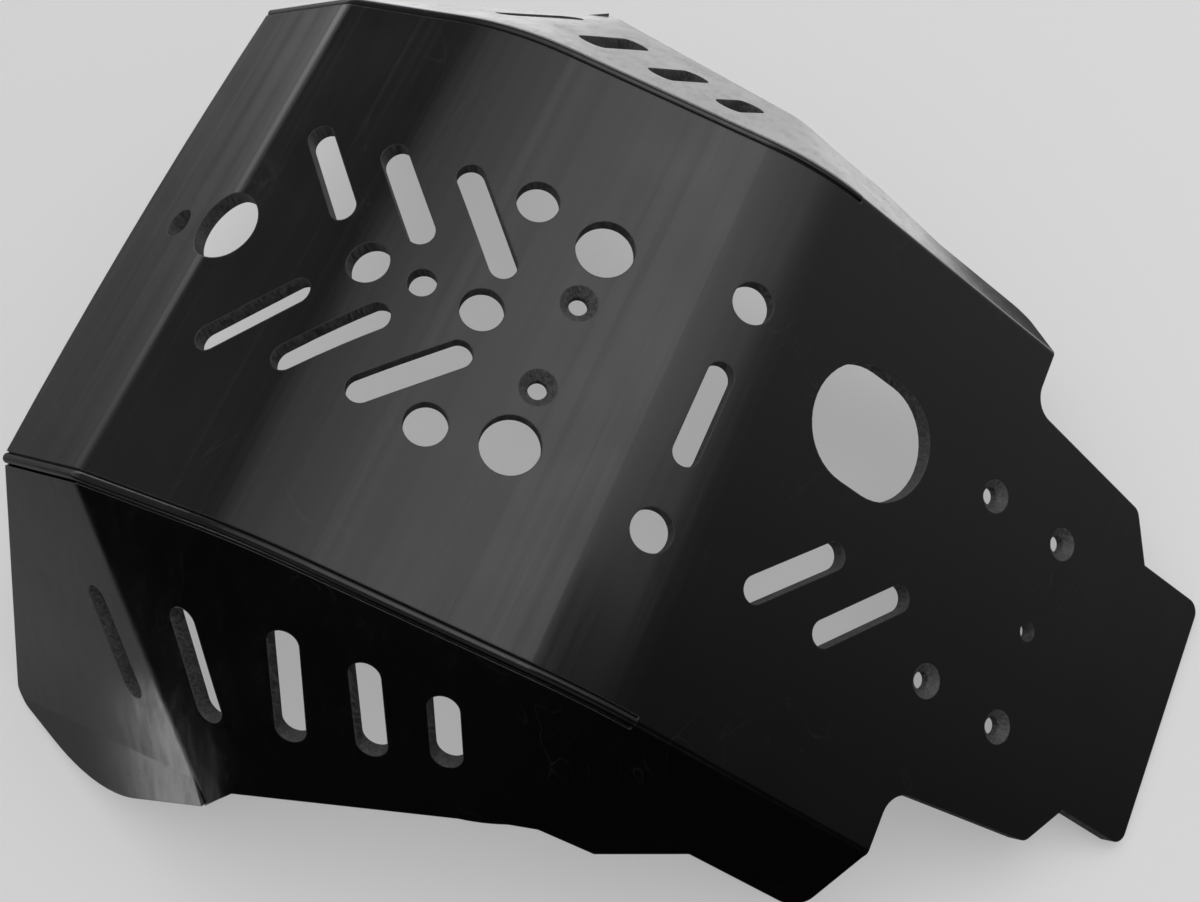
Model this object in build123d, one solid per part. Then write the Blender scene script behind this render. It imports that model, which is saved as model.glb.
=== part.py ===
from build123d import *
import os
from math import atan2, cos, degrees, hypot, radians, sin, tan

# Skid plate of an off-road motorcycle: one sheet of polyethylene, folded and welded.
# It is drawn with the tail panel level and its outer face at height zero, the nose towards -X,
# and then turned to the pose in which it lies on the ground with its outer face up.
# A section plane has its x across the plate, its y into the sheet and its z towards the nose.

# Sheet and centre panel
sheet = 6.0
half_width = 99.4
weld_bead_radius = 2.0
weld_centre_height = 4.5
weld_fill_height = 3.9
weld_overlap = 0.6
fold_radius = 3.0

# Flats and bends of the centre panel, from the tail to the nose, measured on the outer face
tail_run = 222.5
belly_run = 76.5
chin_run = 48.4
nose_run = 53.6
nose_edge_rise = 4.3
rear_bend_angle = 26.3
rear_bend_radius = 86.6
middle_bend_angle = 26.4
middle_bend_radius = 96.5
front_bend_angle = 17.9
front_bend_radius = 16.2

# Outline of the tail panel behind the wings
wing_end = 106.5
tail_root_half_width = 78.3
tail_root_radius = 10.0
tail_shoulder = 174.0
tail_shoulder_half_width = 70.0
tongue_start = 187.0
tongue_half_width = 52.0
tail_corner_radius = 5.5

# Side wings: angle from the panel and the depth of the lower edge at each place
wing_angle = 50.0
rear_wing_end_slant = 4.5
rear_wing_depth = 36.5
rear_wing_corner_radius = 8.0
rear_step_start = 58.5
rear_step_end = 33.0
rear_step_depth = 57.3
belly_knee = 9.5
belly_knee_depth = 58.8
wing_depth_at_rear_bend = 63.0
wing_depth_at_belly_rear = 70.8
wing_depth_at_belly_front = 108.0
wing_depth_at_chin = 113.0
chin_corner = 8.5
chin_corner_depth = 120.4

# Nose wing with its flared lip
nose_wing_angle = 52.5
nose_wing_reach = 121.5
nose_wing_corner_radius = 8.0
crease_radius = 24.0
lip_depth = 115.0
lip_turn = 6.0
lip_knee = 70.0
lip_knee_depth = 31.2
lip_knee_radius = 80.0
lip_edge_slope = 0.24

# Lightening slots of the wings: place along and down the facet, lean and overall length
wing_slot_width = 11.3
tail_slot = (15.9, 36.6, 21.0, 30.1)
second_slot = (42.0, 42.3, 21.0, 39.4)
third_slot = (70.0, 48.6, 18.6, 47.2)
chin_slot = (4.0, 56.9, 12.6, 45.0)
nose_slot = (11.0, 64.4, 4.8, 45.7)

# Slanted and cross slots of the centre panel: ends of the centre line as run and side
panel_slot_width = 10.0
chin_slant = ((-190.3, 41.9), (-166.0, 17.1))
middle_slant = ((-157.1, 40.8), (-134.4, 17.0))
belly_slant = ((-127.4, 42.0), (-104.0, 17.6))
cross_slot = ((-22.0, 14.7), (-22.0, -14.7))
first_tail_slant = ((22.1, -42.9), (46.3, -17.7))
second_tail_slant = ((54.6, -43.3), (79.0, -17.6))

# Round holes of the centre panel: run from the rear bend, place to the side, radius
centre_holes = ((-146.1, 7.7), (-125.6, 5.0), (-103.6, 7.6), (140.7, 3.6))
paired_holes = ((-103.1, 43.9, 7.5), (-75.4, 38.3, 10.3), (-21.9, 43.8, 7.6))
nose_hole = (-238.1, 5.8)
sight_hole = (-209.7, 13.6)

# Countersunk holes for M6 screws
screw_hole_radius = 3.3
countersink_radius = 6.4
screw_places = ((-75.5, 16.5), (103.9, 37.8), (142.6, 38.0))

# Oil drain opening on the left side
drain_radius = 22.3
drain_front = 36.7
drain_rear = 46.9
drain_side = 29.2

# Length of cutting tools, material that is trimmed off again, and how near counts as there
through = 40.0
spare = 60.0
bend_spare = 1.0
near = 0.01


# The section plane at the far end of a flat that starts at a station
def after_flat(station, run):
    return station * Pos(0, 0, run)


# The section plane at the far end of a bend that starts at a station
def after_bend(station, angle, radius):
    return station * Pos(0, radius, 0) * Rot(-angle, 0, 0) * Pos(0, -radius, 0)


# Section planes at both ends of every bend
rear_bend = Plane(origin=(0, 0, 0), x_dir=(0, 1, 0), z_dir=(-1, 0, 0)).location
belly = after_bend(rear_bend, rear_bend_angle, rear_bend_radius)
middle_bend = after_flat(belly, belly_run)
chin = after_bend(middle_bend, middle_bend_angle, middle_bend_radius)
front_bend = after_flat(chin, chin_run)
nose = after_bend(front_bend, front_bend_angle, front_bend_radius)


# A straight length of a section
def along_flat(station, section, run):
    return extrude(station * section, amount=run, dir=Plane(station).z_dir)


# A section carried round a bend of the sheet
def round_bend(station, section, angle, radius):
    centre = (station * Pos(0, radius, 0)).position
    return revolve(station * section, axis=Axis(centre, (0, -1, 0)), revolution_arc=angle)


# A section carried from the rear bend to the nose edge
def to_the_nose(section, last_run):
    return [
        round_bend(rear_bend, section, rear_bend_angle, rear_bend_radius),
        along_flat(belly, section, belly_run),
        round_bend(middle_bend, section, middle_bend_angle, middle_bend_radius),
        along_flat(chin, section, chin_run),
        round_bend(front_bend, section, front_bend_angle, front_bend_radius),
        along_flat(nose, section, last_run),
    ]


# The point of the centreline at a run from the rear bend, positive to the tail
def station_at(run):
    left = -run
    for angle, radius, flat, start in (
        (rear_bend_angle, rear_bend_radius, belly_run, rear_bend),
        (middle_bend_angle, middle_bend_radius, chin_run, middle_bend),
        (front_bend_angle, front_bend_radius, nose_run, front_bend),
    ):
        bend_length = radians(angle) * radius
        if left < bend_length:
            if left < 0:
                return after_flat(start, left)
            return after_bend(start, degrees(left / radius), radius)
        left -= bend_length
        if left < flat:
            return after_flat(after_bend(start, angle, radius), left)
        left -= flat
    return after_flat(nose, nose_run + left)


# The outer face at a run: x to the tail, y to the left, z outwards
def face_at(run):
    station = Plane(station_at(run))
    return Plane(origin=station.origin, x_dir=-station.z_dir, z_dir=-station.y_dir)


# Outline of the level tail panel, from the rear bend to the tail edge
def tail_panel():
    left_side = [
        (0, half_width),
        (wing_end, half_width),
        (wing_end, tail_root_half_width),
        (tail_shoulder, tail_shoulder_half_width),
        (tongue_start, tongue_half_width),
        (tail_run, tongue_half_width),
    ]
    right_side = [(x, -y) for x, y in reversed(left_side)]
    outline = make_face(Polyline(*left_side, *right_side, close=True))
    roots = [v for v in at_corner(outline, wing_end) if abs(v.Y) < half_width - near]
    outline = fillet(roots, tail_root_radius)
    outline = fillet(at_corner(outline, tail_shoulder), tail_corner_radius)
    outline = fillet(at_corner(outline, tail_run), tail_corner_radius)
    return extrude(outline, amount=sheet, dir=(0, 0, -1))


# The corners of an outline at a distance from the rear bend
def at_corner(outline, run):
    return [v for v in outline.vertices() if abs(v.X - run) < near]


# Bends and front panels, with the nose edge a shallow arc
def front_panels():
    section = make_face(Polyline(
        (-half_width, 0), (half_width, 0), (half_width, sheet), (-half_width, sheet), close=True))
    panels = Part() + to_the_nose(section, nose_run + spare)
    edge_side = nose_run - nose_edge_rise
    tip = ThreePointArc((-half_width, edge_side), (0, nose_run), (half_width, edge_side))
    beyond = Polyline(
        tip @ 1, (half_width + spare, edge_side), (half_width + spare, nose_run + 2 * spare),
        (-half_width - spare, nose_run + 2 * spare), (-half_width - spare, edge_side), tip @ 0)
    face = Plane(nose)
    outer = Plane(origin=face.origin, x_dir=face.x_dir, z_dir=face.y_dir)
    past_the_edge = outer * mirror(make_face(tip + beyond), about=Plane.XZ)
    return panels - extrude(past_the_edge, amount=through, both=True)


# Weld in the open corner between the panel and a wing, on the right side
def weld():
    lean = radians(wing_angle)
    corner = Vector(-half_width, sheet)
    wing_edge = Vector(-sin(lean), -cos(lean))
    down_wing = Vector(-cos(lean), sin(lean)) * weld_overlap
    centre = corner + Vector(-sin(lean / 2), -cos(lean / 2)) * weld_centre_height
    fill = make_face(Polyline(
        corner,
        corner + down_wing,
        corner + down_wing + wing_edge * weld_fill_height,
        corner + Vector(weld_overlap, -weld_fill_height),
        corner + Vector(weld_overlap, 0),
        close=True))
    section = fill + Pos(centre.X, centre.Y) * Circle(weld_bead_radius)
    return Part() + to_the_nose(section, nose_run - nose_edge_rise)


# Fold between the tail panel and the rear part of a wing, on the right side
def fold():
    angle = radians(wing_angle)
    corner = Vector(-half_width, sheet)
    ridge = Vector(-half_width - sheet * tan(angle / 2), 0)
    wing_top = corner + Vector(-sin(angle), -cos(angle)) * sheet
    section = make_face(Polyline(corner, (-half_width, 0), ridge, wing_top, close=True))
    outer_corner = section.vertices().sort_by(Axis.Y)[0:2].sort_by(Axis.X)[0]
    section = fillet(outer_corner, fold_radius)
    return extrude(rear_bend * section, amount=wing_end, dir=(1, 0, 0))


# A facet of the right wing: x towards the nose, y down the wing, z outwards, on the inner face
def facet_plane(station, angle):
    section = Plane(station)
    angle = radians(angle)
    outward = section.x_dir * -sin(angle) - section.y_dir * cos(angle)
    corner = (station * Pos(-half_width, sheet, 0)).position
    return Plane(origin=corner, x_dir=section.z_dir, z_dir=outward)


# A flat piece of wing with the given corners
def facet(plane, points):
    return extrude(plane * make_face(Polyline(*points, close=True)), amount=sheet, dir=plane.z_dir)


# Rear part of the wing, stepped down from the belly to the wing's end
def rear_wing():
    plane = facet_plane(rear_bend, wing_angle)
    outline = make_face(Polyline(
        (0, 0),
        (-wing_end, 0),
        (-wing_end - rear_wing_end_slant, rear_wing_depth),
        (-rear_step_start, rear_wing_depth),
        (-rear_step_end, rear_step_depth),
        (-belly_knee, belly_knee_depth),
        (0, wing_depth_at_rear_bend),
        close=True))
    end = outline.vertices().sort_by(Axis.X)[0]
    outline = fillet(end, rear_wing_corner_radius)
    return extrude(plane * outline, amount=sheet, dir=plane.z_dir)


# The wing round a bend is a cone, trimmed between its two neighbours' lower corners
def wing_bend(station, angle, radius, rear_depth, front_depth):
    lean = radians(wing_angle)
    inner = Vector(-half_width, sheet)
    outer = inner + Vector(-sin(lean), -cos(lean)) * sheet
    down = Vector(-cos(lean), sin(lean))
    deepest = down * (max(rear_depth, front_depth) + bend_spare)
    section = make_face(Polyline(inner, outer, outer + deepest, inner + deepest, close=True))
    cone = round_bend(station, section, angle, radius)
    rear = facet_plane(station, wing_angle)
    front = facet_plane(after_bend(station, angle, radius), wing_angle)
    rear_corner = rear.from_local_coords((0, rear_depth, sheet))
    front_corner = front.from_local_coords((0, front_depth, sheet))
    chord = rear_corner - front_corner
    trim = Plane(origin=rear_corner, x_dir=chord, z_dir=chord.cross(rear.z_dir + front.z_dir))
    keep = Keep.TOP if trim.to_local_coords(rear.origin).Z > 0 else Keep.BOTTOM
    return split(cone, bisect_by=trim, keep=keep)


# Wing beside the belly, deeper towards the nose
def belly_wing():
    return facet(facet_plane(belly, wing_angle), [
        (0, 0), (belly_run, 0), (belly_run, wing_depth_at_belly_front), (0, wing_depth_at_belly_rear)])


# A bar along the nose wing, from a section with x down the wing and y outwards
def along_nose_wing(plane, points):
    start = plane.from_local_coords((-spare, 0, 0))
    across = Plane(origin=start, x_dir=plane.y_dir, z_dir=plane.x_dir)
    section = make_face(Polyline(*points, close=True))
    return extrude(across * section, amount=nose_wing_reach + 2 * spare, dir=plane.x_dir)


# The lip, bent outwards, on the bisector of its bend
def lip_bar(plane):
    turn = radians(lip_turn)
    outer_start = Vector(lip_depth, sheet)
    outer_end = outer_start + Vector(cos(turn), sin(turn)) * (lip_knee_depth + spare)
    inner_end = outer_end + Vector(sin(turn), -cos(turn)) * sheet
    inner_start = Vector(lip_depth + sheet * tan(turn / 2), 0)
    return along_nose_wing(plane, [outer_start, outer_end, inner_end, inner_start])


# All that lies past the bisector of the lip's bend
def past_lip_bend(plane):
    slope = tan(radians(lip_turn) / 2)
    return along_nose_wing(plane, [
        (lip_depth - spare * slope, sheet + spare),
        (lip_depth + (sheet + spare) * slope, -spare),
        (lip_depth + 2 * spare, -spare),
        (lip_depth + 2 * spare, sheet + spare)])


# Front edge of the nose wing and the bowed edge of the lip
def nose_wing_outline():
    edge_side = nose_run - nose_edge_rise
    outline = make_face(Polyline(
        (-spare, 0),
        (edge_side, 0),
        (nose_wing_reach, lip_depth),
        (lip_knee, lip_depth + lip_knee_depth),
        (-spare, lip_depth + lip_knee_depth - lip_edge_slope * (lip_knee + spare)),
        close=True))
    knee = outline.vertices().sort_by(Axis.Y)[-1]
    outline = fillet(knee, lip_knee_radius)
    tip = outline.vertices().sort_by(Axis.X)[-1]
    return fillet(tip, nose_wing_corner_radius)


# The face in which two facets meet, halfway between them, with z towards the second
def mitre(first, second):
    ridge = first.z_dir.cross(second.z_dir)
    across = ridge.cross(first.z_dir)
    shift = (second.origin - first.origin).dot(second.z_dir) / across.dot(second.z_dir)
    return Plane(origin=first.origin + across * shift, x_dir=ridge, z_dir=second.z_dir - first.z_dir)


# One sheet bent at the crease of two facets, rounded there and longer than both
def bent_sheet(first, second):
    crease = mitre(first, second)
    half_turn = radians(first.z_dir.get_angle(second.z_dir)) / 2
    reach = nose_wing_reach + spare
    leg = Vector(reach * sin(half_turn), reach * cos(half_turn))
    wall = Vector(-sheet * cos(half_turn), sheet * sin(half_turn))
    outer_ridge = Vector(-sheet / cos(half_turn), 0)
    section = make_face(Polyline(
        (0, 0),
        leg,
        leg + wall,
        outer_ridge,
        Vector(leg.X + wall.X, -leg.Y - wall.Y),
        Vector(leg.X, -leg.Y),
        close=True))
    inner_corner = section.vertices().sort_by_distance((0, 0, 0))[0]
    section = fillet(inner_corner, crease_radius - sheet)
    outer_corner = section.vertices().sort_by_distance(outer_ridge)[0]
    section = fillet(outer_corner, crease_radius)
    across = Plane(origin=crease.origin, x_dir=-crease.y_dir, z_dir=crease.x_dir)
    return extrude(across * section, amount=reach, both=True)


# Chin facet and nose facet meet in a rounded crease, and the nose facet ends in the lip
def front_wing():
    nose_plane = facet_plane(nose, nose_wing_angle)
    chin_plane = facet_plane(chin, wing_angle)
    crease = mitre(nose_plane, chin_plane)
    chin_outline = make_face(Polyline(
        (0, 0),
        (chin_run + spare, 0),
        (chin_corner + spare, chin_corner_depth),
        (chin_corner, chin_corner_depth),
        (0, wing_depth_at_chin),
        close=True))
    nose_blank = extrude(nose_plane * nose_wing_outline(), amount=through, both=True)
    chin_blank = extrude(chin_plane * chin_outline, amount=through, both=True)
    nose_blank = split(nose_blank, bisect_by=crease, keep=Keep.BOTTOM)
    blank = nose_blank + split(chin_blank, bisect_by=crease)
    past_bend = split(past_lip_bend(nose_plane), bisect_by=crease, keep=Keep.BOTTOM)
    flats = (bent_sheet(nose_plane, chin_plane) & blank) - past_bend
    return flats + (lip_bar(nose_plane) & nose_blank)


# The whole wing on the right side, with its weld and fold
def right_side():
    rear_cone = wing_bend(
        rear_bend, rear_bend_angle, rear_bend_radius, wing_depth_at_rear_bend, wing_depth_at_belly_rear)
    middle_cone = wing_bend(
        middle_bend, middle_bend_angle, middle_bend_radius, wing_depth_at_belly_front, wing_depth_at_chin)
    pieces = [rear_wing(), rear_cone, belly_wing(), middle_cone, front_wing(), fold(), weld()]
    return Part() + pieces - wing_slots()


# A slot of a wing, through the sheet
def slot_in(plane, x, y, lean, length, width):
    shape = SlotOverall(length, width, rotation=90 + lean)
    return extrude(plane * Pos(x, y) * shape, amount=through / 2, both=True)


# The five slots of the right wing
def wing_slots():
    belly_plane = facet_plane(belly, wing_angle)
    return [
        slot_in(belly_plane, *tail_slot, wing_slot_width),
        slot_in(belly_plane, *second_slot, wing_slot_width),
        slot_in(belly_plane, *third_slot, wing_slot_width),
        slot_in(facet_plane(chin, wing_angle), *chin_slot, wing_slot_width),
        slot_in(facet_plane(nose, nose_wing_angle), *nose_slot, wing_slot_width),
    ]


# A slot of the centre panel between the ends of its centre line
def panel_slot(start, end, side=1):
    run = (start[0] + end[0]) / 2
    middle = (start[1] + end[1]) / 2 * side
    step_x = start[0] - end[0]
    step_y = (start[1] - end[1]) * side
    length = hypot(step_x, step_y) + panel_slot_width
    shape = SlotOverall(length, panel_slot_width, rotation=degrees(atan2(step_y, step_x)))
    return extrude(face_at(run) * Pos(0, middle) * shape, amount=through / 2, both=True)


# A round hole square to the centre panel
def round_hole(run, side, radius):
    return face_at(run) * Pos(0, side) * Cylinder(radius, through)


# A hole for a screw with a countersunk head
def screw_hole(run, side):
    depth = countersink_radius - screw_hole_radius
    cone = Pos(0, 0, -depth / 2) * Cone(screw_hole_radius, countersink_radius, depth)
    place = face_at(run) * Pos(0, side)
    return place * cone + round_hole(run, side, screw_hole_radius)


# Everything that is cut out of the centre panel
def panel_cut_outs():
    cuts = [round_hole(run, 0, radius) for run, radius in (*centre_holes, nose_hole, sight_hole)]
    for side in (1, -1):
        cuts += [round_hole(run, y * side, radius) for run, y, radius in paired_holes]
        cuts += [screw_hole(run, y * side) for run, y in screw_places]
        cuts += [panel_slot(*ends, side) for ends in (chin_slant, middle_slant, belly_slant)]
    cuts += [panel_slot(*ends) for ends in (cross_slot, first_tail_slant, second_tail_slant)]
    drain_middle = Pos((drain_front + drain_rear) / 2, drain_side)
    drain = drain_middle * SlotCenterToCenter(drain_rear - drain_front, 2 * drain_radius)
    return cuts + [extrude(drain, amount=through / 2, both=True)]


# Turned so that it lies on its tail edge and its two nose corners
def at_rest(plate):
    foot = Vector(tail_run, 0, -sheet)
    lean = max(degrees(atan2(foot.Z - v.Z, foot.X - v.X)) for v in plate.vertices() if v.X < 0)
    plate = plate.rotate(Axis.Y, lean)
    box = plate.bounding_box()
    return plate.translate((-box.center().X, 0, -box.min.Z))


# The whole plate in its resting pose
def skid_plate():
    right = right_side()
    plate = Part() + [tail_panel(), front_panels(), right, mirror(right, about=Plane.XZ)]
    return at_rest(plate - panel_cut_outs())


os.makedirs("parts", exist_ok=True)
export_step(skid_plate(), "parts/skid_plate.step")
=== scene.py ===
# %% [markdown]
# # The looks of a motorcycle skid plate
#
# This lesson dresses a skid plate, the guard that hangs under the engine of an off-road motorcycle.
# The real one is a single sheet of black polyethylene, 6 mm thick, cut out flat, heated, folded over
# a former and welded along the two long corners. The CAD model already has that exact shape, so the
# work here is all in what the eye reads as plastic: the satin shine, the marks of bending, the
# softened edges, the sawn walls of the slots, and the light that makes a black thing readable.

# %% Load the frame
from math import pi

import bpy
from mathutils import Matrix, Vector
from mathutils.bvhtree import BVHTree

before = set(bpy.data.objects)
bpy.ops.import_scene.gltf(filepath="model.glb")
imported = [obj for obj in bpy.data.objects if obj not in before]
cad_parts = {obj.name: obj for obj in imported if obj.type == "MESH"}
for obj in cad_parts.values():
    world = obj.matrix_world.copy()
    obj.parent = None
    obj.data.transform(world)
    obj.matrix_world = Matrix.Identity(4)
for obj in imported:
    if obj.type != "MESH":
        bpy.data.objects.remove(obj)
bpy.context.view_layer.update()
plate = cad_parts["skid_plate"]

# %% [markdown]
# ## The camera
#
# The photograph looks down on the outer face, with the nose at the left and the tail at the lower
# right. The place, the direction and the lens were found by matching the corners and holes of the
# plate, so the camera is set from those three and needs no shift. A camera looks along its own -Z
# with +Y up, and a rotation matrix built from those directions says exactly that.

# %% Camera
camera_place = Vector((0.0817, -0.1699, 0.6167))
film_width_mm = 36
nearest_seen = 0.02
look_along = Vector((-0.1806, 0.2894, -0.9400)).normalized()
picture_up = Vector((-0.3654, 0.8676, 0.3373))
lens_mm = 45.25


def aim(obj, along, up):
    right = along.cross(up).normalized()
    true_up = right.cross(along)
    turned = Matrix((right, true_up, -along)).transposed()
    obj.rotation_euler = turned.to_euler()


bpy.ops.object.camera_add(location=camera_place)
camera = bpy.context.object
camera.name = "camera"
camera.data.lens = lens_mm
camera.data.sensor_width = film_width_mm
camera.data.clip_start = nearest_seen
aim(camera, look_along, picture_up)
bpy.context.scene.camera = camera
print("camera", round(camera_place.length, 3), "m from the plate's middle, lens", lens_mm, "mm")

# %% [markdown]
# ## Small helpers for nodes
#
# Every material below is a handful of nodes and wires, and small helpers keep that readable. One
# adds a node and sets its named inputs, others add a sum, a smooth step or a mix, and one makes an
# empty node group with its sockets. Effects that are used more than once live in groups, and a
# group gives out only masks, values and normals.


# %% Node helpers
def add_node(tree, kind, settings=None, **inputs):
    node = tree.nodes.new(kind)
    for name, value in (settings or {}).items():
        setattr(node, name, value)
    for name, value in inputs.items():
        socket = node.inputs[name.replace("_", " ")]
        if isinstance(value, bpy.types.NodeSocket):
            tree.links.new(value, socket)
        else:
            socket.default_value = value
    return node


def maths(tree, operation, first, second=0.0):
    node = add_node(tree, "ShaderNodeMath", {"operation": operation})
    for socket, value in zip(node.inputs, (first, second)):
        if isinstance(value, bpy.types.NodeSocket):
            tree.links.new(value, socket)
        else:
            socket.default_value = value
    return node.outputs[0]


def spread(tree, value, low, high, to_low=0.0, to_high=1.0):
    node = add_node(tree, "ShaderNodeMapRange", {"interpolation_type": "SMOOTHSTEP"},
                    Value=value, From_Min=low, From_Max=high, To_Min=to_low, To_Max=to_high)
    return node.outputs["Result"]


def mix(tree, data_type, numbers, factor, first, second):
    node = add_node(tree, "ShaderNodeMix", {"data_type": data_type}, Factor=factor)
    for number, value in zip(numbers, (first, second)):
        if isinstance(value, bpy.types.NodeSocket):
            tree.links.new(value, node.inputs[number])
        else:
            node.inputs[number].default_value = value
    return node


def mix_colours(tree, factor, first, second):
    return mix(tree, "RGBA", (6, 7), factor, first, second).outputs[2]


def mix_values(tree, factor, first, second):
    return mix(tree, "FLOAT", (2, 3), factor, first, second).outputs[0]


def new_group(name, inputs, outputs):
    group = bpy.data.node_groups.new(name, "ShaderNodeTree")
    for socket, start in inputs.items():
        made = group.interface.new_socket(socket, in_out="INPUT", socket_type="NodeSocketFloat")
        made.default_value = start
    for socket, kind in outputs.items():
        group.interface.new_socket(socket, in_out="OUTPUT", socket_type=kind)
    entry = group.nodes.new("NodeGroupInput")
    leave = group.nodes.new("NodeGroupOutput")
    return group, entry, leave


def place_group(tree, group, **inputs):
    return add_node(tree, "ShaderNodeGroup", {"node_tree": group}, **inputs)


print("helpers for nodes are ready")

# %% [markdown]
# ## Fine grain of the sheet
#
# Pressed polyethylene is never mirror smooth. Under a lamp its skin shows a very fine grain, a few
# tenths of a millimetre across, over a slow waviness that the press leaves. Two noises at these two
# sizes give a height for the bump and a slow mask that lets the shine drift from place to place.


# %% Grain group
def sheet_grain_group():
    group, entry, leave = new_group(
        "sheet_grain", {"Grain Size": 0.0005, "Wave Size": 0.03},
        {"Height": "NodeSocketFloat", "Drift": "NodeSocketFloat"})
    place = add_node(group, "ShaderNodeTexCoord").outputs["Object"]
    fine_scale = maths(group, "DIVIDE", 1.0, entry.outputs["Grain Size"])
    slow_scale = maths(group, "DIVIDE", 1.0, entry.outputs["Wave Size"])
    fine = add_node(group, "ShaderNodeTexNoise", Vector=place, Scale=fine_scale, Detail=2.0)
    slow = add_node(group, "ShaderNodeTexNoise", Vector=place, Scale=slow_scale, Detail=1.0)
    group.links.new(fine.outputs["Fac"], leave.inputs["Height"])
    group.links.new(spread(group, slow.outputs["Fac"], 0.3, 0.7), leave.inputs["Drift"])
    return group


sheet_grain = sheet_grain_group()
print("made the group", sheet_grain.name)

# %% [markdown]
# ## Marks of bending
#
# Where the hot sheet was drawn over the former it keeps faint, straight streaks that run across the
# plate, side by side with the bends. Noise that is squeezed one way and stretched the other looks
# like that. The Mapping node does the squeezing: tight along the plate, long across it. A second
# noise, wider and softer, is the ripple of the sheet itself. It is strongest beside the two bends of
# the belly, and goes to the bump.


# %% Bending marks group
streak_stretch = (260, 3, 130)
ripple_stretch = (115, 1.2, 60)
front_bend_x = -0.105
rear_bend_x = 0.055
beside_bend = (0.015, 0.05)
ripple_elsewhere = 0.3


def bending_marks_group():
    group, entry, leave = new_group(
        "bending_marks", {"Fineness": 1.0},
        {"Streaks": "NodeSocketFloat", "Ripple": "NodeSocketFloat"})
    place = add_node(group, "ShaderNodeTexCoord").outputs["Object"]
    stretched = add_node(group, "ShaderNodeMapping", Vector=place)
    stretched.inputs["Scale"].default_value = streak_stretch
    noise = add_node(group, "ShaderNodeTexNoise", Vector=stretched.outputs["Vector"],
                     Scale=entry.outputs["Fineness"], Detail=4.0, Roughness=0.65)
    group.links.new(spread(group, noise.outputs["Fac"], 0.42, 0.75), leave.inputs["Streaks"])
    wide = add_node(group, "ShaderNodeMapping", Vector=place)
    wide.inputs["Scale"].default_value = ripple_stretch
    ripple = add_node(group, "ShaderNodeTexNoise", Vector=wide.outputs["Vector"],
                      Scale=entry.outputs["Fineness"], Detail=2.0, Roughness=0.4)
    across = add_node(group, "ShaderNodeSeparateXYZ", Vector=place).outputs["X"]
    from_front = maths(group, "ABSOLUTE", maths(group, "SUBTRACT", across, front_bend_x))
    from_rear = maths(group, "ABSOLUTE", maths(group, "SUBTRACT", across, rear_bend_x))
    nearest = maths(group, "MINIMUM", from_front, from_rear)
    share = spread(group, nearest, *beside_bend, 1.0, ripple_elsewhere)
    group.links.new(maths(group, "MULTIPLY", ripple.outputs["Fac"], share), leave.inputs["Ripple"])
    return group


bending_marks = bending_marks_group()
print("made the group", bending_marks.name)

# %% [markdown]
# ## Hairline scratches
#
# Soft plastic picks up hairlines as soon as it is handled. They are thin, short, in a few main
# directions, and seen only where a lamp is reflected. The band around the middle value of a
# stretched noise is a set of thin lines, and a second, coarse noise breaks them up so that they
# lie in patches.


# %% Hairlines group
hairline_stretch = (90, 7, 40)


def hairlines_group():
    group, entry, leave = new_group(
        "hairlines", {"Turn": 0.6, "Thinness": 0.004}, {"Lines": "NodeSocketFloat"})
    place = add_node(group, "ShaderNodeTexCoord").outputs["Object"]
    turn = add_node(group, "ShaderNodeCombineXYZ", Z=entry.outputs["Turn"])
    turned = add_node(group, "ShaderNodeVectorRotate", {"rotation_type": "EULER_XYZ"},
                      Vector=place, Rotation=turn.outputs["Vector"])
    stretched = add_node(group, "ShaderNodeMapping", Vector=turned.outputs["Vector"])
    stretched.inputs["Scale"].default_value = hairline_stretch
    noise = add_node(group, "ShaderNodeTexNoise", Vector=stretched.outputs["Vector"], Scale=1.0, Detail=1.0)
    away = maths(group, "ABSOLUTE", maths(group, "SUBTRACT", noise.outputs["Fac"], 0.5))
    line = maths(group, "LESS_THAN", away, entry.outputs["Thinness"])
    patches = add_node(group, "ShaderNodeTexNoise", Vector=place, Scale=22.0, Detail=2.0)
    patchy = spread(group, patches.outputs["Fac"], 0.5, 0.68)
    group.links.new(maths(group, "MULTIPLY", line, patchy), leave.inputs["Lines"])
    return group


hairlines = hairlines_group()
print("made the group", hairlines.name)

# %% [markdown]
# ## Softened edges
#
# A router leaves a crisp edge, and a scraper takes its burr off, so each real edge is a tiny round
# that catches the light as a thin line. The Bevel node looks round every edge and gives the normal
# that such a round would have. Where that normal and the true one differ there is an edge, and the
# difference is the mask for a lighter line painted along it, which is a painted highlight.


# %% Softened edges group
def softened_edges_group():
    group, entry, leave = new_group(
        "softened_edges", {"Radius": 0.0006}, {"Normal": "NodeSocketVector", "Edge": "NodeSocketFloat"})
    bevel = add_node(group, "ShaderNodeBevel", {"samples": 4}, Radius=entry.outputs["Radius"])
    true_normal = add_node(group, "ShaderNodeNewGeometry").outputs["Normal"]
    match = add_node(group, "ShaderNodeVectorMath", {"operation": "DOT_PRODUCT"})
    group.links.new(bevel.outputs["Normal"], match.inputs[0])
    group.links.new(true_normal, match.inputs[1])
    edge = spread(group, maths(group, "SUBTRACT", 1.0, match.outputs["Value"]), 0.03, 0.25)
    group.links.new(bevel.outputs["Normal"], leave.inputs["Normal"])
    group.links.new(edge, leave.inputs["Edge"])
    return group


softened_edges = softened_edges_group()
print("made the group", softened_edges.name)
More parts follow.
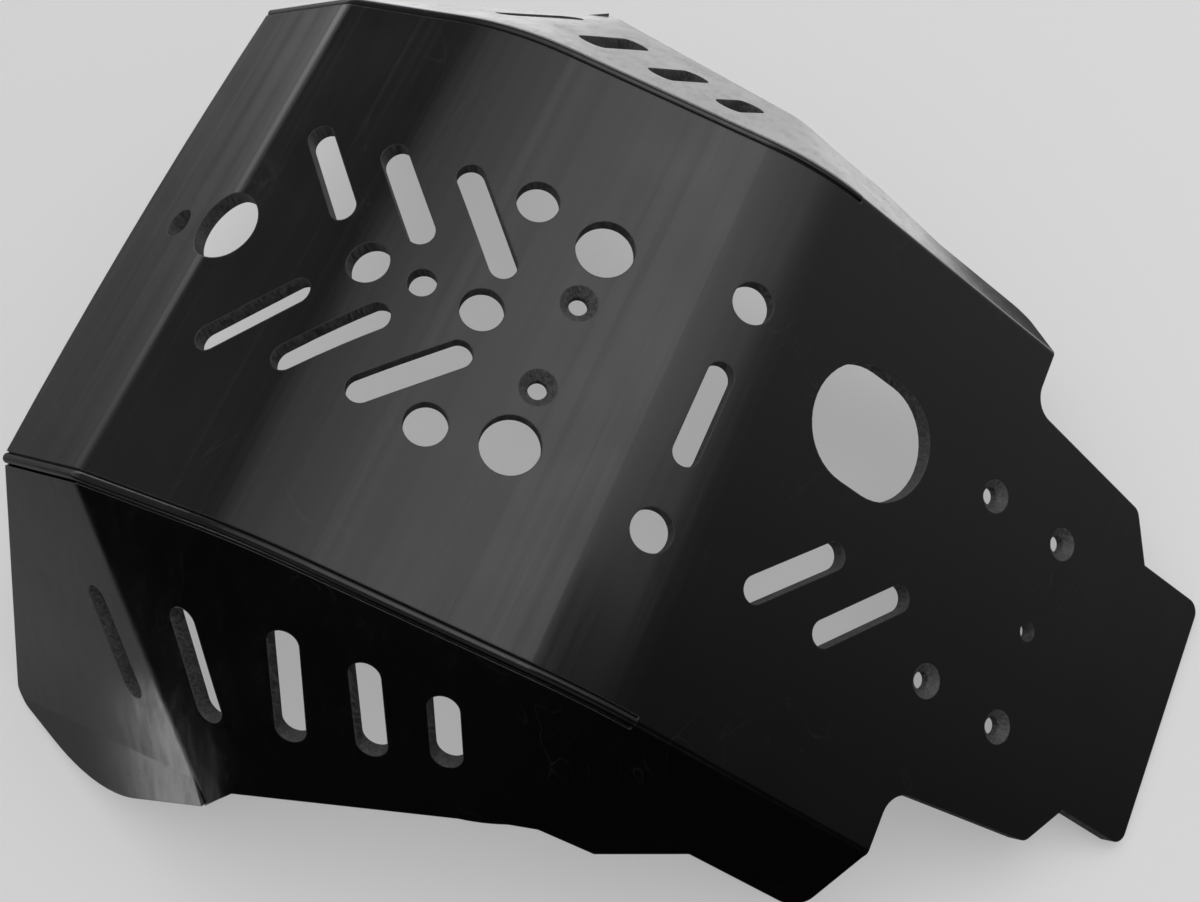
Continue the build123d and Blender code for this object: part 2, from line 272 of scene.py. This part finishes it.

# %% [markdown]
# ## Black polyethylene
#
# Black plastic has almost no colour of its own: what shows is the reflection of the lamps, blurred
# by the skin. So the base colour is a near black, and the work is in the roughness. The satin skin
# sits near 0.2, streaks and hairlines scatter a little more, and the edges are the dullest. The edges
# also take a lighter grey, which is a painted highlight, and the hairlines take the same grey as real
# scratches.

# %% Polyethylene skin
skin_black = (0.002, 0.002, 0.0022, 1)
# Lighter grey: a painted highlight along the edges, and the colour of real hairline scratches.
edge_highlight_and_scratch_grey = (0.10, 0.10, 0.103, 1)
satin = 0.19
first_turn, second_turn = 0.5, -0.9
edge_highlight_share = 0.75
scratch_wear = 0.05
drift_dulls, streaks_dull, edge_and_scratch_dulls = 0.04, 0.06, 0.35


def polyethylene_skin():
    material = bpy.data.materials.new("polyethylene_skin")
    material.use_nodes = True
    tree = material.node_tree
    shader = tree.nodes["Principled BSDF"]
    grain = place_group(tree, sheet_grain)
    marks = place_group(tree, bending_marks)
    along = place_group(tree, hairlines, Turn=first_turn).outputs["Lines"]
    across = place_group(tree, hairlines, Turn=second_turn).outputs["Lines"]
    edges = place_group(tree, softened_edges)
    scratches = maths(tree, "MULTIPLY", maths(tree, "MAXIMUM", along, across), scratch_wear)
    # The edge mask paints a highlight in the lighter grey; the hairlines add real scratches in it.
    edge_highlight = maths(tree, "MULTIPLY", edges.outputs["Edge"], edge_highlight_share)
    edge_highlight_and_scratches = maths(tree, "MAXIMUM", edge_highlight, scratches)
    tree.links.new(mix_colours(tree, edge_highlight_and_scratches, skin_black, edge_highlight_and_scratch_grey), shader.inputs["Base Color"])
    drift = maths(tree, "MULTIPLY", grain.outputs["Drift"], drift_dulls)
    dull = maths(tree, "MULTIPLY", marks.outputs["Streaks"], streaks_dull)
    dulled_edges_and_scratches = maths(tree, "MULTIPLY", edge_highlight_and_scratches, edge_and_scratch_dulls)
    roughness = maths(tree, "ADD", maths(tree, "ADD", drift, dull), maths(tree, "ADD", dulled_edges_and_scratches, satin))
    tree.links.new(roughness, shader.inputs["Roughness"])
    ripple = add_node(tree, "ShaderNodeBump", Strength=1.0, Distance=0.00035,
                      Height=marks.outputs["Ripple"], Normal=edges.outputs["Normal"])
    bump = add_node(tree, "ShaderNodeBump", Strength=0.1, Distance=0.0001,
                    Height=grain.outputs["Height"], Normal=ripple.outputs["Normal"])
    tree.links.new(bump.outputs["Normal"], shader.inputs["Normal"])
    return material


skin = polyethylene_skin()
print("made", skin.name)

# %% [markdown]
# ## Sawn polyethylene
#
# The walls of the slots and holes, and the rim of the sheet, were cut by a router. There the glossy
# skin is gone and the plastic is dull and greyer, with fine upright marks from the turning cutter.
# The marks are noise again, stretched along Z this time, and they drive colour, roughness and bump.
# Along each edge the lighter grey is also laid on as a painted highlight.

# %% Sawn walls
sawn_dark = (0.025, 0.025, 0.026, 1)
sawn_light_and_highlight = (0.08, 0.08, 0.082, 1)
sawn_stretch = (1400, 1400, 150)
sawn_roughness = (0.5, 0.65)


def sawn_polyethylene():
    material = bpy.data.materials.new("polyethylene_sawn")
    material.use_nodes = True
    tree = material.node_tree
    shader = tree.nodes["Principled BSDF"]
    place = add_node(tree, "ShaderNodeTexCoord").outputs["Object"]
    upright = add_node(tree, "ShaderNodeMapping", Vector=place)
    upright.inputs["Scale"].default_value = sawn_stretch
    marks = add_node(tree, "ShaderNodeTexNoise", Vector=upright.outputs["Vector"], Scale=1.0, Detail=2.0)
    tone = spread(tree, marks.outputs["Fac"], 0.3, 0.7)
    edges = place_group(tree, softened_edges)
    # The lighter grey goes on the cutter marks and, as a painted highlight, along each edge.
    marks_and_edge_highlight = maths(tree, "MAXIMUM", tone, edges.outputs["Edge"])
    tree.links.new(mix_colours(tree, marks_and_edge_highlight, sawn_dark, sawn_light_and_highlight), shader.inputs["Base Color"])
    tree.links.new(spread(tree, tone, 0.0, 1.0, *sawn_roughness), shader.inputs["Roughness"])
    bump = add_node(tree, "ShaderNodeBump", Strength=0.3, Distance=0.0001,
                    Height=marks.outputs["Fac"], Normal=edges.outputs["Normal"])
    tree.links.new(bump.outputs["Normal"], shader.inputs["Normal"])
    return material


sawn = sawn_polyethylene()
print("made", sawn.name)

# %% [markdown]
# ## Skin or sawn
#
# The plate is one CAD solid, so each of its faces has to be told which finish it has. A skin face
# has the other skin one sheet thickness behind it, facing the other way, and a sawn face hasn't. A
# ray sent into the plastic measures that, from the middle of the face and from points towards its
# corners, because the ray from one point may come out in a slot. The welds and folds beside the
# panel are left out: they are skin although the plastic is thicker there.

# %% Finish of each face
sheet_thickness = 0.006
thickness_slack = 0.0003
opposite = -0.98
towards_corner = 0.8
fold_zone = (0.0962, 0.1085)


def skin_behind(point, face, tree):
    hit = tree.ray_cast(point - face.normal * thickness_slack, -face.normal)
    if hit[3] is None or hit[1].dot(face.normal) > opposite:
        return False
    return abs(hit[3] + thickness_slack - sheet_thickness) < thickness_slack


def is_skin(face, tree):
    if fold_zone[0] < abs(face.center.y) < fold_zone[1]:
        return True
    corners = [plate.data.vertices[i].co for i in face.vertices]
    points = [face.center.copy()] + [face.center.lerp(corner, towards_corner) for corner in corners]
    return any(skin_behind(point, face, tree) for point in points)


solid = BVHTree.FromPolygons([v.co for v in plate.data.vertices], [p.vertices for p in plate.data.polygons])
finish_of_face = [0 if is_skin(face, solid) else 1 for face in plate.data.polygons]
plate.data.materials.clear()
plate.data.materials.append(skin)
plate.data.materials.append(sawn)
plate.data.polygons.foreach_set("material_index", finish_of_face)
print("skin faces", finish_of_face.count(0), "sawn faces", finish_of_face.count(1))

# %% [markdown]
# ## Floor
#
# The plate lies on a plain pale floor with its tail edge and the two corners of its nose. To the
# camera, and to the light that the sawn walls gather, the floor is pale paper that glows a little,
# so that the holes stay light. The photograph's plate mirrors a darker ground: a lit patch in front
# of the nose, a dim one on the far side, and nothing beside the near wing. So the glossy rays see
# those tones instead. Far away the paper turns into pure glow, as bright as the wall behind it, so
# that no view shows a horizon.

# %% Floor
floor_size = 12
floor_pale = (0.5, 0.5, 0.5, 1)
floor_glow = 0.3
wall_pale = 0.8
fade_span = (0.7, 3.2)
far_side_span = (-0.22, -0.04)
before_nose_span = (-0.17, -0.10)
patch_side_span = (-0.38, -0.27)
close_span = (-0.26, -0.21)
spot_span = (-0.25, -0.21)
floor_roughness = 0.9
floor_lit_spot = (1.0, 1.0, 1.0, 1)
floor_lit_close = (0.34, 0.34, 0.34, 1)
floor_lit_patch = (0.42, 0.42, 0.42, 1)
floor_dim = (0.08, 0.08, 0.08, 1)
floor_black = (0.004, 0.004, 0.004, 1)


def floor_paper():
    material = bpy.data.materials.new("floor_paper")
    material.use_nodes = True
    tree = material.node_tree
    place = add_node(tree, "ShaderNodeTexCoord").outputs["Object"]
    apart = add_node(tree, "ShaderNodeSeparateXYZ", Vector=place)
    far_side = spread(tree, apart.outputs["Y"], *far_side_span)
    before_nose = spread(tree, apart.outputs["X"], *before_nose_span, 1.0, 0.0)
    not_beyond = spread(tree, apart.outputs["Y"], *patch_side_span)
    patch = maths(tree, "MULTIPLY", before_nose, not_beyond)
    close_by = spread(tree, apart.outputs["X"], *close_span)
    near_side = spread(tree, apart.outputs["Y"], *spot_span, 1.0, 0.0)
    close = mix_colours(tree, near_side, floor_lit_close, floor_lit_spot)
    lit = mix_colours(tree, close_by, floor_lit_patch, close)
    mirrored = mix_colours(tree, far_side, floor_black, floor_dim)
    mirrored = mix_colours(tree, patch, mirrored, lit)
    rays = add_node(tree, "ShaderNodeLightPath")
    pale = maths(tree, "MAXIMUM", rays.outputs["Is Camera Ray"], rays.outputs["Is Diffuse Ray"])
    shader = tree.nodes["Principled BSDF"]
    distance = add_node(tree, "ShaderNodeVectorMath", {"operation": "LENGTH"}, Vector=place)
    far_away = spread(tree, distance.outputs["Value"], *fade_span)
    paper = mix_colours(tree, far_away, floor_pale, (0, 0, 0, 1))
    tree.links.new(mix_colours(tree, pale, mirrored, paper), shader.inputs["Base Color"])
    shader.inputs["Roughness"].default_value = floor_roughness
    shader.inputs["Specular IOR Level"].default_value = 0.0
    shader.inputs["Emission Color"].default_value = (1, 1, 1, 1)
    glow = spread(tree, far_away, 0.0, 1.0, floor_glow, wall_pale)
    tree.links.new(maths(tree, "MULTIPLY", pale, glow), shader.inputs["Emission Strength"])
    return material


bpy.ops.object.select_all(action="DESELECT")
bpy.ops.mesh.primitive_plane_add(size=floor_size, location=(0, 0, 0))
floor = bpy.context.object
floor.name = "floor"
floor.data.materials.append(floor_paper())
print("floor", floor_size, "m wide")

# %% [markdown]
# ## Softboxes
#
# A black plate shows its shape by what it mirrors, so the lamps are large cloths of light. The one
# overhead is brightest right above the belly, and ends there in a clear line towards the tail: past
# the belly the sheet bends away, and the eye reads the bend from that line. Towards the nose its
# light fades. A dimmer, narrower cloth carries on beyond the line, and a third stands low in front
# of the nose. A plane with an Emission shader can fade in steps that a Color Ramp gives, which an
# area lamp can't do. All three are hidden from the camera, but not from the plastic.


# %% Softbox helper
def softbox(name, low, high, axis, strength, stops):
    spans = [b - a for a, b in zip(low, high)]
    flat = spans.index(0)
    turn, width, depth = {
        0: ((0, pi / 2, 0), spans[2], spans[1]),
        1: ((pi / 2, 0, 0), spans[0], spans[2]),
        2: ((0, 0, 0), spans[0], spans[1])}[flat]
    middle = [(a + b) / 2 for a, b in zip(low, high)]
    bpy.ops.object.select_all(action="DESELECT")
    bpy.ops.mesh.primitive_plane_add(size=1, location=middle, rotation=turn)
    cloth = bpy.context.object
    cloth.name = name
    cloth.scale = (width, depth, 1)
    bpy.ops.object.transform_apply(location=True, rotation=True, scale=True)
    material = bpy.data.materials.new(name + "_cloth")
    material.use_nodes = True
    tree = material.node_tree
    tree.nodes.clear()
    number = "XYZ".index(axis)
    place = add_node(tree, "ShaderNodeTexCoord").outputs["Object"]
    apart = add_node(tree, "ShaderNodeSeparateXYZ", Vector=place)
    along = add_node(tree, "ShaderNodeMapRange", Value=apart.outputs[number],
                     From_Min=low[number], From_Max=high[number])
    ramp = add_node(tree, "ShaderNodeValToRGB", Fac=along.outputs["Result"])
    for step, (at, level) in enumerate(stops):
        share = (at - low[number]) / spans[number]
        stop = ramp.color_ramp.elements[step] if step < 2 else ramp.color_ramp.elements.new(share)
        stop.position = share
        stop.color = (level, level, level, 1)
    glow = add_node(tree, "ShaderNodeEmission", Color=ramp.outputs["Color"], Strength=strength)
    out = add_node(tree, "ShaderNodeOutputMaterial")
    tree.links.new(glow.outputs["Emission"], out.inputs["Surface"])
    cloth.data.materials.append(material)
    cloth.visible_camera = False
    cloth.visible_shadow = False
    print(name, [round(v, 2) for v in spans], "m")
    return cloth


# %% [markdown]
# ## Where the lamps hang
#
# Each stop is a place along the cloth in metres and its share of the full strength. The clear line
# lies where the brightest stop of one cloth meets the half-bright one of the next. The low cloth
# stands so near the paper that it would burn a white patch into it, so it lights no dull surface.

# %% Lamps
overhead_strength = 3.3
overhead_stops = (
    (-1.7, 0.05), (-1.45, 0.10), (-1.25, 0.20), (-0.9, 0.28), (-0.03, 0.39), (0.28, 0.97))
past_bend_stops = ((0.295, 0.45), (0.8, 0.36), (1.5, 0.22), (1.9, 0.1))
nose_strength = 2.3
nose_stops = ((-0.9, 0.25), (0.1, 0.30), (0.45, 0.52), (0.9, 1.0), (1.6, 0.8))

softbox("overhead_softbox", (-1.7, -0.45, 1.6), (0.285, 1.45, 1.6), "X", overhead_strength, overhead_stops)
softbox("past_bend_softbox", (0.29, 0.3, 1.6), (1.9, 1.45, 1.6), "X", overhead_strength, past_bend_stops)
nose_softbox = softbox(
    "nose_softbox", (-1.6, -0.9, 0.02), (-1.6, 1.6, 0.6), "Y", nose_strength, nose_stops)
nose_softbox.visible_diffuse = False

# %% [markdown]
# ## Three more lamps
#
# The softboxes are tuned to what the black skin mirrors, and leave the paper grey. A fill lamp
# brings the level up to where a colour looks about as it is written. It is hidden from glossy rays,
# so it adds no reflection. The far wing is seen at a low angle, where plastic mirrors strongly, and
# in the photograph it is the brightest part. What it mirrors lies on the ground behind the plate, so
# a flat lamp lies there, and it is hidden from all rays but the glossy ones. A very small one does
# the same for the lip under the nose.


# %% Lamps without a cloth
facing_down, facing_up = 0, pi


def flat_lamp(name, place, size, power, turn, **hidden):
    bpy.ops.object.light_add(type="AREA", location=place, rotation=(turn, 0, 0))
    lamp = bpy.context.object
    lamp.name = name
    lamp.data.shape = "RECTANGLE"
    lamp.data.size, lamp.data.size_y = size
    lamp.data.energy = power
    lamp.visible_camera = False
    for ray, shown in hidden.items():
        setattr(lamp, ray, shown)
    print(name, power, "W")


flat_lamp("fill_lamp", (-0.3, 0.5, 2.6), (2.4, 2.4), 30, facing_down, visible_glossy=False)
flat_lamp("ground_lamp", (-0.02, 0.44, 0.003), (0.8, 0.5), 1.45, facing_up, visible_diffuse=False)
flat_lamp("lip_lamp", (-0.185, -0.265, 0.003), (0.10, 0.06), 0.02, facing_up, visible_diffuse=False)

# %% [markdown]
# ## Room
#
# The rest of the room is a dim grey past the tail and on the far side. The near side is grey too, but
# only from a little above the floor: below that the wing of the real plate mirrors nothing. The
# direction of a ray is the World's Generated coordinate, so smooth steps along its axes make the
# darker sides. A camera that looks level sees a pale wall instead, and the dull surfaces gather an
# even soft light, through the Light Path node.

# %% World
room_grey = 0.45
near_grey = 0.3
soft_light = 0.35
far_side_grows = (-0.05, 0.62)
tail_grows = (-0.9, 0.5)
nose_share = 0.4
ahead_fades = (-0.85, -0.6)
ahead_across = (0.1, 0.5)
ahead_greys = (0.26, 0.10)
near_side_fades = (-0.75, -0.35)
above_floor = (0.05, 0.3)


def light_room():
    world = bpy.data.worlds.new("room")
    bpy.context.scene.world = world
    world.use_nodes = True
    tree = world.node_tree
    background = tree.nodes["Background"]
    towards = add_node(tree, "ShaderNodeTexCoord").outputs["Generated"]
    apart = add_node(tree, "ShaderNodeSeparateXYZ", Vector=towards)
    far_side = spread(tree, apart.outputs["Y"], *far_side_grows, 0.0, room_grey)
    past_tail = spread(tree, apart.outputs["X"], *tail_grows, nose_share, 1.0)
    ahead = spread(tree, apart.outputs["X"], *ahead_fades, 1.0, 0.0)
    ahead_grey = spread(tree, apart.outputs["Y"], *ahead_across, *ahead_greys)
    near_side = spread(tree, apart.outputs["Y"], *near_side_fades, near_grey, 0.0)
    above = spread(tree, apart.outputs["Z"], *above_floor)
    elsewhere = maths(tree, "ADD", maths(tree, "MULTIPLY", far_side, past_tail),
                      maths(tree, "MULTIPLY", near_side, above))
    grey = mix_values(tree, ahead, elsewhere, ahead_grey)
    rays = add_node(tree, "ShaderNodeLightPath")
    gathered = mix_values(tree, rays.outputs["Is Diffuse Ray"], grey, soft_light)
    strength = mix_values(tree, rays.outputs["Is Camera Ray"], gathered, wall_pale)
    tree.links.new(strength, background.inputs["Strength"])
    background.inputs["Color"].default_value = (1, 1, 1, 1)


light_room()
print("room lit at", room_grey)

# %% [markdown]
# ## Finish
#
# The Standard view transform shows colours about as they are written.

# %% View transform
bpy.context.scene.view_settings.view_transform = "Standard"
